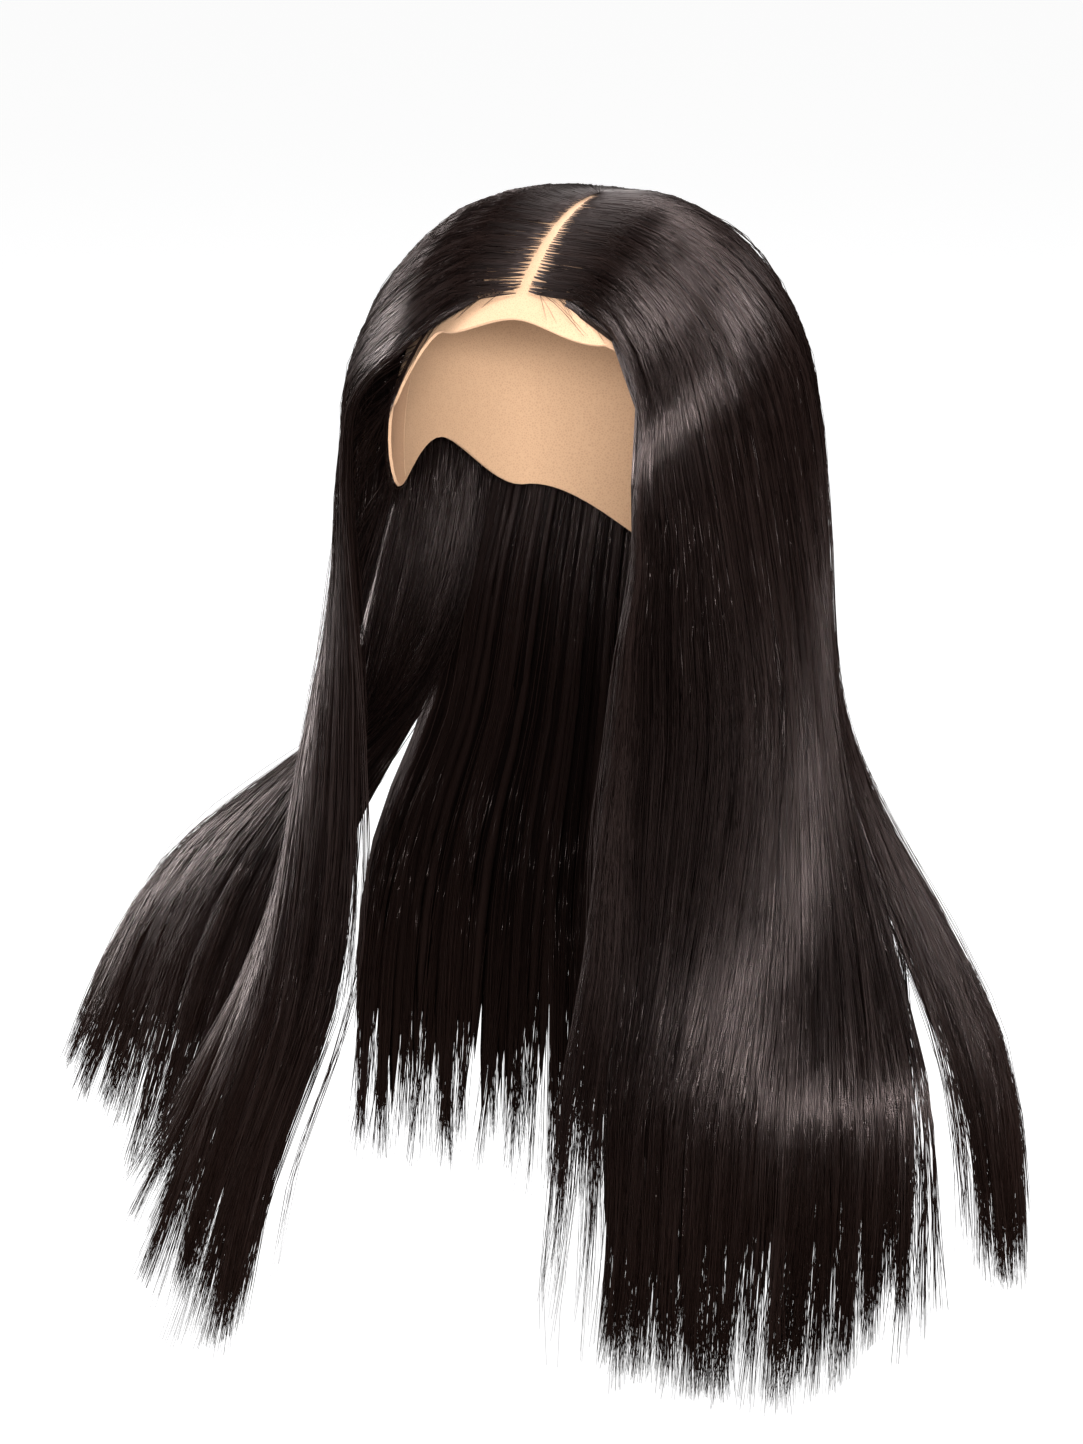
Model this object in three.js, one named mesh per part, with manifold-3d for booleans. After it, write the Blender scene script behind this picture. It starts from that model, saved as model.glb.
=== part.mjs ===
// A long straight wig with a centre parting, in the form it takes on a head and shoulders.
// Millimetres, +Z up, the face side towards -Y, the wearer's left towards +X.
// The origin is the crown of the head, the point inside the cap that the wig sits on.
import * as THREE from "three";
import { mergeVertices } from "three/addons/utils/BufferGeometryUtils.js";
import Module from "manifold-3d";

const wasm = await Module();
wasm.setup();

// The head that the cap fits: an ellipsoid 158 wide and 200 long, 564 round.
const HEAD_CENTRE = new THREE.Vector3(0, 4, -104);
const HEAD_RADII = new THREE.Vector3(79, 100, 104);
const CAP_WALL = 1.2;
const SEAM_GAP = 0.4;

// The cap's edge: how far down from the crown it reaches, in degrees round the head's centre,
// at each bearing from the face. It is the same on both sides.
const CAP_EDGE = [
  { place: "forehead", bearing: 0, down: 49 },
  { place: "hairline corner", bearing: 32, down: 55 },
  { place: "temple", bearing: 56, down: 76 },
  { place: "ear tab", bearing: 76, down: 98 },
  { place: "above the ear", bearing: 98, down: 91 },
  { place: "behind the ear", bearing: 128, down: 106 },
  { place: "nape", bearing: 180, down: 124 },
];
const CAP_BEARINGS = 40;
const CAP_RINGS = 10;

// The lace: a band along the front hairline and a strip under the parting, in one T-shaped piece.
const LACE = { bandDepth: 20, bandBack: -14, stripWidth: 14, stripEnd: 14 };
const CUTTER_REACH = 130;
const MERGE_DISTANCE = 1e-4;

// The parting, and how the hair leaves it.
const PART_HALF_WIDTH = 2.6;
const COMB_REACH = 0.85; // how far the hair runs sideways before it turns down, in head radii
const ROOT_LIFT = 2.9;
const EAR_LEVEL = -109;
const CHIN_LEVEL = -208;
const HEAD_STEPS = 4;

// Thickness of the hair along its length, as a share of that length.
const HAIR_DEPTH = [
  { along: 0, depth: 1.6 },
  { along: 0.24, depth: 4.5 },
  { along: 0.5, depth: 9 },
  { along: 0.85, depth: 7 },
  { along: 1, depth: 2 },
];
const LOCK_RELIEF = { root: 0.3, end: 3.2 };
const LOCKS_PART_AT = 0.7; // where the locks part from each other, as a share of the hair's length
const LOCK_NOTCH = 0.1; // how much shorter the hair is between two locks
const LOCK_UNEVEN = 0.04; // how much the locks differ in length
const LOCK_BEAT = 5; // radians from one lock to the next in the wave that makes them uneven
const COLUMNS_PER_LOCK = 3;
const HAIR_ROWS = 16;
const ROW_CROWDING = 1.3; // above 1 crowds the rows towards the roots, where the hair bends most

// One row for each guide across a panel of hair, from its front edge to its rear edge.
// root: place along the parting. comb and ear: bearings from the face, in degrees, in which the hair
// leaves the parting and passes the ear. lift: how far it stands off the cap there. chin: where it passes
// the level of the chin. After these come x, y and z of each point that it hangs through, down to its tip.
const COLUMNS = ["root", "comb", "ear", "lift", "chinX", "chinY"];
const PANELS = [
  {
    name: "hair_left_front",
    locks: 9,
    guides: [
      [-67, 80, 42, 8, 45, -83, 46, -91, -293, 48, -96, -341, 53, -96, -463],
      [-48, 88, 62, 9, 89, -52, 85, -69, -294, 86, -88, -343, 86, -90, -459],
      [-31, 92, 80, 9, 103, -21, 119, -47, -296, 131, -71, -341, 131, -74, -456],
      [-16.5, 97, 97.5, 9, 108, 6, 147, -28, -289, 169, -51, -337, 173, -54, -429],
    ],
  },
  {
    name: "hair_left_rear",
    locks: 4,
    guides: [
      [-14.5, 98, 100, 9, 105, 12, 160, 0, -340, 175, 0, -434],
      [-7, 106, 112, 9, 98, 31, 173, 24, -342, 185, 20, -448],
      [0, 117, 124, 9, 87, 51, 160, 53, -342, 171, 50, -448],
    ],
  },
  {
    name: "hair_back",
    locks: 12,
    guides: [
      [2, 120, 127, 9, 84, 60, 101, 90, -312, 106, 114, -463],
      [6, 150, 152, 9, 54, 92, 64, 107, -312, 68, 127, -476],
      [8, 180, 180, 9, 0, 104, 0, 112, -312, 0, 131, -480],
      [6, 210, 208, 13, -54, 94, -77, 107, -312, -96, 125, -476],
      [2, 240, 232, 17, -99, 69, -146, 88, -312, -168, 102, -463],
    ],
  },
  {
    name: "hair_right_shoulder",
    locks: 8,
    guides: [
      [0, 242.5, 235, 18, -100, 60, -160, 79, -313, -190, 90, -452],
      [-4, 248, 241, 19, -107, 44, -225, 38, -315, -278, 32, -422],
      [-8.5, 254, 249, 21, -114, 32, -188, 8, -308, -232, -4, -440],
      [-14.5, 262, 258, 23, -120, 19, -140, -6, -306, -180, -36, -456],
    ],
  },
  {
    name: "hair_right_front",
    locks: 7,
    guides: [
      [-16.5, 263.5, 262.5, 24, -124, 6, -143, -25, -316, -196, -55, -437],
      [-31, 268, 275, 23, -120, -16, -132, -40, -323, -169, -68, -464],
      [-48, 272, 285, 22, -108, -31, -115, -48, -328, -146, -74, -479],
      [-67, 280, 295, 19, -90, -40, -94, -53, -330, -126, -77, -466],
    ],
  },
];

const HAIR_MATERIAL = new THREE.MeshStandardMaterial({ color: 0x1c1513, roughness: 0.38, metalness: 0 });
const LACE_MATERIAL = new THREE.MeshStandardMaterial({ color: 0xdcb08a, roughness: 0.8, metalness: 0 });
const CAP_MATERIAL = new THREE.MeshStandardMaterial({ color: 0xc9a27f, roughness: 0.85, metalness: 0 });

// Values between the rows of a table, eased so that an outline has no corners.
function tableAt(rows, key, value, at) {
  const next = rows.findIndex((row) => row[key] >= at);
  if (next <= 0) return rows[Math.max(next, 0)][value];
  const before = rows[next - 1];
  const after = rows[next];
  const share = (at - before[key]) / (after[key] - before[key]);
  const eased = share * share * (3 - 2 * share);
  return before[value] + (after[value] - before[value]) * eased;
}

// A direction from the head's centre, by bearing from the face and angle down from the crown.
function headDirection(bearing, down) {
  const b = THREE.MathUtils.degToRad(bearing);
  const d = THREE.MathUtils.degToRad(down);
  return new THREE.Vector3(Math.sin(d) * Math.sin(b), -Math.sin(d) * Math.cos(b), Math.cos(d));
}

// The point in that direction that stands so far off the head.
function offHead(direction, lift) {
  return HEAD_RADII.clone().addScalar(lift).multiply(direction).add(HEAD_CENTRE);
}

// A solid for the cuts. Triangles that the merge of equal corners has shrunk to a line are dropped.
function toSolid(geometry) {
  const bare = geometry.clone();
  bare.deleteAttribute("normal");
  bare.deleteAttribute("uv");
  const merged = mergeVertices(bare, MERGE_DISTANCE);
  const corners = merged.index.array;
  const whole = [];
  for (let t = 0; t < corners.length; t += 3) {
    const [a, b, c] = corners.slice(t, t + 3);
    if (a !== b && b !== c && c !== a) whole.push(a, b, c);
  }
  const vertProperties = merged.attributes.position.array;
  const triVerts = Uint32Array.from(whole);
  return new wasm.Manifold(new wasm.Mesh({ numProp: 3, vertProperties, triVerts }));
}

function toGeometry(solid) {
  const { vertProperties, triVerts } = solid.getMesh();
  const geometry = new THREE.BufferGeometry();
  geometry.setAttribute("position", new THREE.BufferAttribute(vertProperties, 3));
  geometry.setIndex(new THREE.BufferAttribute(triVerts, 1));
  geometry.computeVertexNormals();
  return geometry;
}

// A closed skin over an outer and an inner grid of points, both indexed [column][row].
// A grid that closes on itself round the columns has no side walls.
function skinGeometry(outer, inner, closed) {
  const columns = outer.length;
  const rows = outer[0].length;
  const points = [...outer.flat(), ...inner.flat()];
  const faces = [];
  const out = (c, r) => (c % columns) * rows + r;
  const into = (c, r) => columns * rows + out(c, r);
  const quad = (a, b, c, d) => faces.push(a, b, c, a, c, d);
  const spans = closed ? columns : columns - 1;
  for (let c = 0; c < spans; c++) {
    for (let r = 0; r + 1 < rows; r++) {
      quad(out(c, r), out(c, r + 1), out(c + 1, r + 1), out(c + 1, r));
      quad(into(c, r), into(c + 1, r), into(c + 1, r + 1), into(c, r + 1));
    }
    quad(out(c, 0), out(c + 1, 0), into(c + 1, 0), into(c, 0));
    quad(out(c, rows - 1), into(c, rows - 1), into(c + 1, rows - 1), out(c + 1, rows - 1));
  }
  for (let r = 0; !closed && r + 1 < rows; r++) {
    const last = columns - 1;
    quad(out(0, r), into(0, r), into(0, r + 1), out(0, r + 1));
    quad(out(last, r), out(last, r + 1), into(last, r + 1), into(last, r));
  }
  const geometry = new THREE.BufferGeometry().setFromPoints(points);
  geometry.setIndex(faces);
  return geometry;
}

// The whole dome of the cap, crown to edge, before the lace is parted from the net.
function domeSolid() {
  const surface = (lift) =>
    Array.from({ length: CAP_BEARINGS }, (_, c) => {
      const bearing = (360 * c) / CAP_BEARINGS;
      const fromFace = bearing > 180 ? 360 - bearing : bearing;
      const edge = tableAt(CAP_EDGE, "bearing", "down", fromFace);
      return Array.from({ length: CAP_RINGS + 1 }, (_, r) =>
        offHead(headDirection(bearing, (edge * r) / CAP_RINGS), lift),
      );
    });
  return toSolid(skinGeometry(surface(CAP_WALL), surface(0), true));
}

// An upright prism over the T of the lace, grown by a margin all round.
function laceCutter(margin) {
  const front = -HEAD_RADII.y * Math.sin(THREE.MathUtils.degToRad(CAP_EDGE[0].down)) + HEAD_CENTRE.y;
  const bandInner = front + LACE.bandDepth + margin;
  const back = LACE.bandBack + margin;
  const band = new THREE.Shape();
  const sideways = HEAD_RADII.x - LACE.bandDepth - margin;
  const crosswise = HEAD_CENTRE.y - bandInner;
  const turn = Math.asin((HEAD_CENTRE.y - back) / crosswise);
  band.moveTo(-CUTTER_REACH, back);
  band.lineTo(-sideways * Math.cos(turn), back);
  band.absellipse(0, HEAD_CENTRE.y, sideways, crosswise, Math.PI + turn, 2 * Math.PI - turn, false, 0);
  band.lineTo(CUTTER_REACH, back);
  band.lineTo(CUTTER_REACH, -CUTTER_REACH);
  band.lineTo(-CUTTER_REACH, -CUTTER_REACH);
  const half = LACE.stripWidth / 2 + margin;
  const strip = new THREE.Shape();
  strip.moveTo(-half, front);
  strip.lineTo(half, front);
  strip.lineTo(half, LACE.stripEnd);
  strip.absarc(0, LACE.stripEnd, half, 0, Math.PI, false);
  const upright = { depth: 2 * CUTTER_REACH, bevelEnabled: false, curveSegments: 8 };
  const [bandSolid, stripSolid] = [band, strip].map((shape) =>
    toSolid(new THREE.ExtrudeGeometry(shape, upright).translate(0, 0, -CUTTER_REACH)),
  );
  return bandSolid.add(stripSolid);
}

// The guide at a place across a panel, 0 at its front edge and 1 at its rear edge.
function guideAt(guides, across) {
  const place = across * (guides.length - 1);
  const index = Math.min(Math.floor(place), guides.length - 2);
  const t = place - index;
  const from = guides[index];
  const to = guides[index + 1];
  const before = guides[index - 1] ?? from.map((value, k) => 2 * value - to[k]);
  const after = guides[index + 2] ?? to.map((value, k) => 2 * value - from[k]);
  const values = from.map((value, k) => {
    const slope = (to[k] - before[k]) / 2;
    const nextSlope = (after[k] - value) / 2;
    const rise = to[k] - value;
    return value + slope * t + (3 * rise - 2 * slope - nextSlope) * t * t
      + (slope + nextSlope - 2 * rise) * t * t * t;
  });
  const guide = Object.fromEntries(COLUMNS.map((column, k) => [column, values[k]]));
  guide.hanging = values.slice(COLUMNS.length);
  return guide;
}

// The course of one hair on the outside of a panel: over the head, past the ear, and down to its tip.
function hairCourse(guide) {
  const comb = headDirection(guide.comb, 90);
  const root = comb.clone().multiplyScalar(PART_HALF_WIDTH).add(new THREE.Vector3(0, guide.root, 0));
  const rootDirection = root.sub(HEAD_CENTRE).divide(HEAD_RADII).setZ(0);
  rootDirection.z = Math.sqrt(1 - rootDirection.lengthSq());
  const earDown = Math.acos((EAR_LEVEL - HEAD_CENTRE.z) / HEAD_RADII.z);
  const earDirection = headDirection(guide.ear, THREE.MathUtils.radToDeg(earDown));
  const turning = rootDirection.clone().addScaledVector(comb, COMB_REACH);
  const sweep = new THREE.QuadraticBezierCurve3(rootDirection, turning, earDirection);
  const points = [];
  for (let step = 0; step <= HEAD_STEPS; step++) {
    const share = step / HEAD_STEPS;
    const rise = (guide.lift - ROOT_LIFT) * Math.sin((share * Math.PI) / 2);
    points.push(offHead(sweep.getPoint(share).normalize(), CAP_WALL + ROOT_LIFT + rise));
  }
  points.push(new THREE.Vector3(guide.chinX, guide.chinY, CHIN_LEVEL));
  for (let k = 0; k < guide.hanging.length; k += 3) {
    points.push(new THREE.Vector3(...guide.hanging.slice(k, k + 3)));
  }
  return new THREE.CatmullRomCurve3(points, false, "centripetal");
}

// A panel of hair: locks side by side, fused over their length and parting into points at the ends.
function hairPanel({ guides, locks }) {
  const columns = locks * COLUMNS_PER_LOCK;
  const isValley = (c) => c % COLUMNS_PER_LOCK === 0;
  const along = (r) => (r / HAIR_ROWS) ** ROW_CROWDING;
  const endingAt = (reach, share) => {
    const parted = Math.max(share - LOCKS_PART_AT, 0) / (1 - LOCKS_PART_AT);
    return share - parted * (1 - reach);
  };
  const middle = Array.from({ length: columns + 1 }, (_, c) => {
    const course = hairCourse(guideAt(guides, c / columns));
    const lock = Math.floor(c / COLUMNS_PER_LOCK);
    const uneven = LOCK_UNEVEN * (0.5 + 0.5 * Math.sin(LOCK_BEAT * lock));
    const reach = 1 - (isValley(c) ? LOCK_NOTCH : 0) - uneven;
    return Array.from({ length: HAIR_ROWS + 1 }, (_, r) => course.getPointAt(endingAt(reach, along(r))));
  });
  const outward = (c, r) => {
    const [left, right] = [middle[Math.max(c - 1, 0)][r], middle[Math.min(c + 1, columns)][r]];
    const [up, down] = [middle[c][Math.max(r - 1, 0)], middle[c][Math.min(r + 1, HAIR_ROWS)]];
    const across = right.clone().sub(left);
    return down.clone().sub(up).cross(across).normalize();
  };
  const outer = [];
  const inner = [];
  for (let c = 0; c <= columns; c++) {
    outer.push([]);
    inner.push([]);
    for (let r = 0; r <= HAIR_ROWS; r++) {
      const normal = outward(c, r);
      const relief = THREE.MathUtils.lerp(LOCK_RELIEF.root, LOCK_RELIEF.end, along(r));
      const depth = tableAt(HAIR_DEPTH, "along", "depth", along(r));
      const sunk = isValley(c) ? Math.min(relief, depth / 2) : 0;
      outer[c].push(middle[c][r].clone().addScaledVector(normal, -sunk));
      inner[c].push(middle[c][r].clone().addScaledVector(normal, -depth));
    }
  }
  return skinGeometry(outer, inner, false);
}

function mesh(name, geometry, material) {
  const made = new THREE.Mesh(geometry, material);
  made.name = name;
  return made;
}

const wig = new THREE.Group();
const dome = domeSolid();
wig.add(mesh("cap", toGeometry(dome.subtract(laceCutter(SEAM_GAP))), CAP_MATERIAL));
wig.add(mesh("lace_front", toGeometry(dome.intersect(laceCutter(0))), LACE_MATERIAL));
for (const panel of PANELS) wig.add(mesh(panel.name, hairPanel(panel), HAIR_MATERIAL));

export default wig;
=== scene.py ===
# A long straight wig with a centre parting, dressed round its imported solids: a lace and net cap, locks
# and single strands of dark hair, a pale floor, soft light and a camera.
# Metres, +Z up, the face side towards -Y, the wearer's left towards +X.
import math

import bpy
import numpy as np
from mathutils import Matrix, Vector


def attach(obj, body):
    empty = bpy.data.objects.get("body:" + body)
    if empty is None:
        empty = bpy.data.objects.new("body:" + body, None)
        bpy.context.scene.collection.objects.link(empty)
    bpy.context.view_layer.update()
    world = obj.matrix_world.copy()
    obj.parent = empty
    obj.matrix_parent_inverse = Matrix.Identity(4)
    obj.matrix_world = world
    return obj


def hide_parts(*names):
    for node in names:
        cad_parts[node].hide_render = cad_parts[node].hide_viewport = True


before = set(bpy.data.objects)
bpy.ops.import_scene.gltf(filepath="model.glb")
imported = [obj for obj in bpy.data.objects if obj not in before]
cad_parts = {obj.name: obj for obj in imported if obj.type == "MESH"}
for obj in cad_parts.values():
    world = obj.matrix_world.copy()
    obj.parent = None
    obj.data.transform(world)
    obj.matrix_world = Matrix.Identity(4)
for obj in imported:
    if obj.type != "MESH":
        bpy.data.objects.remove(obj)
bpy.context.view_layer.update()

BODY = "root"

# The head that the cap fits, and the cap's edge: degrees down from the crown at each bearing from the face.
# HAIRLINE: how many degrees above that edge the hair starts, at each bearing.
HEAD_CENTRE = np.array([0.0, 0.004, -0.104])
HEAD_RADII = np.array([0.079, 0.100, 0.104])
CAP_WALL = 0.0012
CAP_EDGE = [(0, 49), (32, 55), (56, 76), (76, 98), (98, 91), (128, 106), (180, 124)]
HAIRLINE = [(0, 7), (28, 8.5), (38, 5), (50, 0.5)]
CAP_BEARINGS = 144
CAP_RINGS = 36
SEAM_GAP = 0.0004
LACE_BAND_DEPTH = 0.020
LACE_BAND_BACK = -0.014
LACE_STRIP_WIDTH = 0.014
LACE_STRIP_END = 0.014
CUTTER_REACH = 0.130
CUTTER_ARC_STEPS = 24
SHARP_ANGLE = math.radians(40)
WELD_REACH = 1e-6

# The parting, and how the hair leaves it.
PART_HALF_WIDTH = [(-0.067, 0.0021), (-0.030, 0.0016), (0.010, 0.0009)]
COMB_REACH = 0.85
ROOT_LIFT = 0.0029
EAR_LEVEL = -0.109
CHIN_LEVEL = -0.208
HEAD_STEPS = 4

# One row for each guide across a panel, from its front edge to its rear edge.
# root: place along the parting. comb and ear: bearings, in degrees, in which the hair leaves the parting
# and passes the ear. lift: how far it stands off the cap there. Then x and y at the level of the chin, and
# x, y and z of each point that it hangs through, down to its tip, from column HANG_COLUMN on.
HANG_COLUMN = 6
LEFT_FRONT = [
    [-0.067, 80, 42, 0.008, 0.045, -0.083,
     0.046, -0.091, -0.293, 0.048, -0.096, -0.341, 0.053, -0.096, -0.463],
    [-0.048, 88, 62, 0.009, 0.089, -0.052,
     0.085, -0.069, -0.294, 0.086, -0.088, -0.343, 0.086, -0.090, -0.459],
    [-0.031, 92, 80, 0.009, 0.103, -0.021,
     0.119, -0.047, -0.296, 0.131, -0.071, -0.341, 0.131, -0.074, -0.456],
    [-0.0165, 97, 97.5, 0.009, 0.108, 0.006,
     0.147, -0.028, -0.289, 0.169, -0.051, -0.337, 0.173, -0.054, -0.429],
]
LEFT_REAR = [
    [-0.0145, 98, 100, 0.009, 0.105, 0.012, 0.160, 0.000, -0.340, 0.175, 0.000, -0.434],
    [-0.007, 106, 112, 0.009, 0.098, 0.031, 0.173, 0.024, -0.342, 0.185, 0.020, -0.448],
    [0.000, 117, 124, 0.009, 0.087, 0.051, 0.160, 0.053, -0.342, 0.171, 0.050, -0.448],
]
BACK = [
    [0.002, 120, 127, 0.009, 0.084, 0.060, 0.101, 0.090, -0.312, 0.106, 0.114, -0.463],
    [0.006, 150, 152, 0.009, 0.054, 0.092, 0.064, 0.107, -0.312, 0.068, 0.127, -0.476],
    [0.008, 180, 180, 0.009, 0.000, 0.104, 0.000, 0.112, -0.312, 0.000, 0.131, -0.480],
    [0.006, 210, 208, 0.013, -0.054, 0.094, -0.077, 0.107, -0.312, -0.096, 0.125, -0.476],
    [0.002, 240, 232, 0.017, -0.099, 0.069, -0.146, 0.088, -0.312, -0.168, 0.102, -0.463],
]
RIGHT_SHOULDER = [
    [0.000, 242.5, 235, 0.018, -0.100, 0.060, -0.160, 0.079, -0.313, -0.190, 0.090, -0.452],
    [-0.004, 248, 241, 0.019, -0.107, 0.044, -0.225, 0.038, -0.315, -0.278, 0.032, -0.422],
    [-0.0085, 254, 249, 0.021, -0.114, 0.032, -0.188, 0.008, -0.308, -0.232, -0.004, -0.440],
    [-0.0145, 262, 258, 0.023, -0.120, 0.019, -0.140, -0.006, -0.306, -0.180, -0.036, -0.456],
]
RIGHT_FRONT = [
    [-0.0165, 263.5, 262.5, 0.024, -0.124, 0.006, -0.143, -0.025, -0.316, -0.196, -0.055, -0.437],
    [-0.031, 268, 275, 0.023, -0.120, -0.016, -0.132, -0.040, -0.323, -0.169, -0.068, -0.464],
    [-0.048, 272, 285, 0.022, -0.108, -0.031, -0.115, -0.048, -0.328, -0.146, -0.074, -0.479],
    [-0.067, 280, 295, 0.019, -0.090, -0.040, -0.094, -0.053, -0.330, -0.126, -0.077, -0.466],
]

# What each panel holds. face: the edge, 0 or 1 across, that frames the face. locks: flat locks in a layer.
# clumps: bunches that the strands gather into. tufts: bunches of roots along the parting. strands: strands
# from the parting. under and ends: strands that start lower down, under them. tip: the share of the length
# over which the ends thin out. past: how far the longest hairs pass the locks' tips, as a share of the
# length. wisps: thin hairs loose of the face edge.
COLUMNS = ("name", "guides", "face", "locks", "clumps", "tufts", "strands", "under", "ends", "tip", "past",
           "wisps")
PANELS = [dict(zip(COLUMNS, row)) for row in (
    ("left_front", LEFT_FRONT, 0, 48, 84, 44, 1050, 420, 1500, 0.12, 0.02, 420),
    ("left_rear", LEFT_REAR, None, 22, 30, 13, 420, 200, 560, 0.20, 0.01, 0),
    ("back", BACK, None, 70, 90, 22, 1000, 420, 1500, 0.14, 0.01, 0),
    ("right_shoulder", RIGHT_SHOULDER, None, 46, 60, 13, 750, 380, 1200, 0.15, 0.0, 0),
    ("right_front", RIGHT_FRONT, 1, 32, 48, 44, 700, 300, 900, 0.16, 0.03, 60),
)]

# Where the dense hair of a panel that frames the face begins, as a share of its width in from its face
# edge, at shares of the hair's length.
FACE_INSET = {
    "left_front": [(0, 0.055), (0.06, 0.11), (0.1, 0.07), (0.13, 0.02), (0.2, -0.05),
                   (0.3, 0), (0.45, 0.045), (0.62, 0.055), (0.8, 0), (1, -0.06)],
    "right_front": [(0, 0.05), (0.04, 0.045), (0.11, -0.09), (0.22, 0), (0.7, 0), (0.87, 0.16), (1, 0.04)],
}

# The panel's surface is sampled on a grid that reaches a little past its edges and its tips.
GRID_ACROSS = 141
GRID_ALONG = 201
GRID_MARGIN = 0.2
TIP_MARGIN = 0.04
CURVE_STEPS = 24
SHORTEST_VECTOR = 1e-12

# Depths under a panel's outer surface, at shares of the hair's length. Locks lie at theirs, and strands at
# random shares of theirs.
TOP_DEPTH = [(0, 0.0009), (0.2, 0.0013), (0.4, 0.0028), (0.7, 0.0034), (1, 0.0024)]
LOCK_DEPTH = [(0, 0.0021), (0.2, 0.0027), (0.4, 0.0040), (0.7, 0.0046), (1, 0.0026)]
LOCK_HALF_DEPTH = [(0, 0.0004), (0.2, 0.0007), (0.5, 0.0013), (0.8, 0.0011), (1, 0.0004)]
UNDER_DEPTH = [(0, 0.004), (0.24, 0.0045), (0.5, 0.009), (0.85, 0.0075), (1, 0.004)]
TOP_SHARE_POWER = 1.2
UNDER_SHARES = (0, 1.05)

# Strands are thin tubes with rings at shares of their length. Each family starts at a share of the hair's
# length. A name ending in RADII is a range of shares of the radius.
STRAND_SIDES = 3
STRAND_RADIUS = 0.00017
STRAND_RADII = (0.7, 1.25)
FINE_RADIUS = 0.00010
STRAND_TAPER = [(0, 0.5), (0.06, 1.0), (0.85, 1.0), (1, 0.35)]
HEAD_RINGS = [0, 0.012, 0.045, 0.08, 0.115, 0.15, 0.185, 0.22, 0.26, 0.31]
TOP_RINGS = HEAD_RINGS + [0.375, 0.45, 0.53, 0.61, 0.69, 0.77, 0.85, 0.93, 1]
UNDER_RINGS = np.linspace(0, 1, 14)
END_RINGS = np.linspace(0, 1, 7)
RING_JITTER = 0.35
FAMILY_RINGS = {"strands": TOP_RINGS, "under": UNDER_RINGS, "ends": END_RINGS}
FAMILY_START = {"strands": (0, 0.006), "under": (0.22, 0.34), "ends": (0.60, 0.76)}

# At the parting the roots stand in tufts on the cap, and the strands rise to their places in the panel.
ROOT_HEIGHT = 0.0002
ROOT_RISE = 0.013
TUFT_JITTER = (0.1, 0.9)
TUFT_SPREAD = 0.0035
TUFT_GATHER = 0.6

# Lower down the strands gather in clumps, and the clumps in locks of uneven widths. Over the last
# TIP_LENGTH each clump draws to a point. A name ending in GROWTH or FALL has the share of the hair's length
# where something begins to grow or fade, and the share over which it does.
CLUMP_SPREAD = 0.6
CLUMP_JITTER = (-0.2, 1.2)
CLUMP_FULLNESS = (0.3, 1)
CLUMP_FULLNESS_POWER = 1.5
CLUMP_GATHER = 0.3
CLUMP_GROWTH = (0.45, 0.55)
CLUMP_SHADE = 0.5
TIP_GATHER = 0.62
TIP_LENGTH = 0.12
LOCK_CLUMPS = 7
LOCK_WIDTHS = (0.35, 1.65)
LOCK_GATHER = 0.06
LOCK_GROWTH = (0.5, 0.5)
EDGE_SPREAD = 0.05
EDGE_SPREAD_FALL = (0.4, 0.2)

# Clumps lie sunk by uneven depths, and ripple slowly along their length.
SUNK_DEPTH = 0.0011
SUNK_GROWTH = (0.15, 0.5)
RIPPLE_DEPTH = 0.0007
RIPPLE_BEATS = (2.5, 4.5)
RIPPLE_GROWTH = (0, 0.15)

# How much shorter locks, clumps, a clump's outer strands and single strands end, as shares of the panel's
# tip.
LOCK_SHORT = 0.25
CLUMP_SHORT = 0.4
OUTER_SHORT = 0.15
STRAND_SHORT = 0.5
STRAND_SHORT_POWER = 2.5

# Past this place across it the left curtain thins out towards its rear edge. There it loses these shares of
# its strands and of its locks' length.
THIN_EDGE = 0.84
THIN_STRANDS = 0.7
THIN_LOCKS = 0.25

# Strands drift from side to side in two slow waves, and splay towards their ends.
WANDER_BEAT = 0.5
WANDER_BEAT_RANGE = 0.9
WANDER_SECOND = 0.5
CLUMP_WANDER = 0.0016
STRAND_WANDER = 0.0006
SPLAY_FROM = 0.6
FRAY_FROM = 0.82
CLUMP_SPLAY = 0.0045
STRAND_SPLAY = 0.0013
FRAY_SPLAY = 0.0026
SPLAY_DEPTH = 0.6

# Strands from the front hairline, which join the panel beside the face. Each starts level with the place in
# HAIRLINE_SEARCH, as a share of the hair's length, that lies nearest to its root. HAIRLINE_DEPTH is in
# degrees, and HAIRLINE_JOIN in metres.
HAIRLINE_STRANDS = 240
HAIRLINE_BEARINGS = (3, 74)
HAIRLINE_DEPTH = 4.0
HAIRLINE_WIDTH = 0.2
HAIRLINE_SEARCH = np.linspace(0, 0.4, 81)
HAIRLINE_JOIN = (0.03, 0.08)
HAIRLINE_END = (0.4, 0.7)
HAIRLINE_RINGS = np.linspace(0, 1, 13) ** 1.3
HAIRLINE_WANDER = 0.0010
HAIRLINE_RADII = (0.55, 1.0)

# Single hairs that stand a little off each panel.
LOOSE_HAIRS = 24
LOOSE_ACROSS = (0.08, 0.88)
LOOSE_START = (0.05, 0.35)
LOOSE_END = (0.7, 1.0)
LOOSE_STAND_OFF = 0.002
LOOSE_ROOT_DEPTH = 0.001
LOOSE_BOW_POWER = 0.8
LOOSE_WANDER = 0.007
LOOSE_RADII = (0.7, 1.2)
LOOSE_SHADES = (0.4, 1)

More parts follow.
